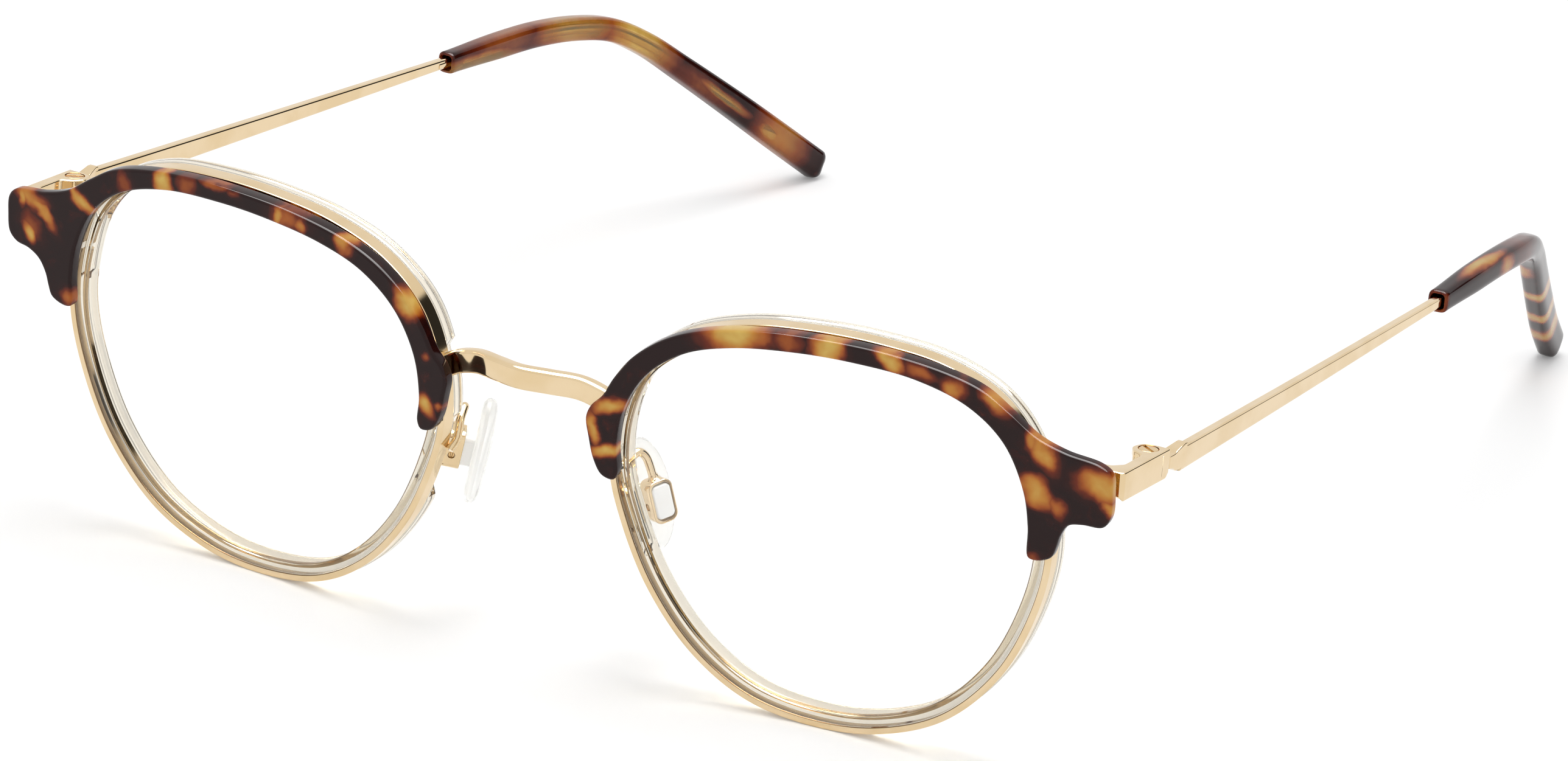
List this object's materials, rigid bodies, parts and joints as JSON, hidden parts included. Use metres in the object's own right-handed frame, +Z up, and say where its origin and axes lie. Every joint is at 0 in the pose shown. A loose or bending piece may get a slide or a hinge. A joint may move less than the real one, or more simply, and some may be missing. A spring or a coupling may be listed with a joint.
{
  "type": "eyeglasses frame",
  "caption": "Browline eyeglasses with tortoise acetate brow pieces and tips, gold metal rims, bridge and temples, clear inner rims, demo lenses and folding hinges.",
  "frame": {"origin": "floor point below the middle of the overall box, with the frame standing on both rims and both temple tips", "axes": "+Z up, -Y the way the wearer looks, +X towards the wearer's left"},
  "size_m": [0.1386, 0.1606, 0.0461],
  "materials": {
    "gold": "polished light gold plating",
    "screw_metal": "polished light gold plating",
    "tortoise": "polished tortoise acetate, near-black brown with amber patches",
    "clear_acetate": "polished crystal-clear acetate",
    "demo_lens": "clear, uncoated",
    "silicone": "clear soft silicone"
  },
  "bodies": {
    "front": {"metal_rim_left": "gold", "metal_rim_right": "gold", "inner_rim_left": "clear_acetate", "inner_rim_right": "clear_acetate", "lens_left": "demo_lens", "lens_right": "demo_lens", "brow_left": "tortoise", "brow_right": "tortoise", "bridge": "gold", "endpiece_left": "gold", "endpiece_right": "gold", "rim_lock_left": "gold", "rim_lock_right": "gold", "lock_screw_left": "screw_metal", "lock_screw_right": "screw_metal", "hinge_screw_left": "screw_metal", "hinge_screw_right": "screw_metal", "guard_arm_left": "gold", "guard_arm_right": "gold", "pad_box_left": "gold", "pad_box_right": "gold", "pad_screw_left": "screw_metal", "pad_screw_right": "screw_metal"},
    "left_temple": {"temple_left": "gold", "temple_tip_left": "tortoise"},
    "right_temple": {"temple_right": "gold", "temple_tip_right": "tortoise"},
    "left_pad": {"nose_pad_left": "silicone"},
    "right_pad": {"nose_pad_right": "silicone"}
  },
  "joints": [
    {"name": "fold_left", "type": "hinge", "parent": "front", "child": "left_temple", "pos_m": [0.06745, -0.0646, 0.0351], "axis": [0, 0.0506, 0.9987], "range_deg": [0, 86]},
    {"name": "fold_right", "type": "hinge", "parent": "front", "child": "right_temple", "pos_m": [-0.06745, -0.0646, 0.0351], "axis": [0, -0.0506, -0.9987], "range_deg": [0, 80]},
    {"name": "pad_rock_left", "type": "hinge", "parent": "front", "child": "left_pad", "pos_m": [0.01329, -0.0702, 0.01961], "axis": [0.4676, 0.8608, 0.2009], "range_deg": [-8, 8]},
    {"name": "pad_rock_right", "type": "hinge", "parent": "front", "child": "right_pad", "pos_m": [-0.01329, -0.0702, 0.01961], "axis": [0.4676, -0.8608, -0.2009], "range_deg": [-8, 8]}
  ]
}
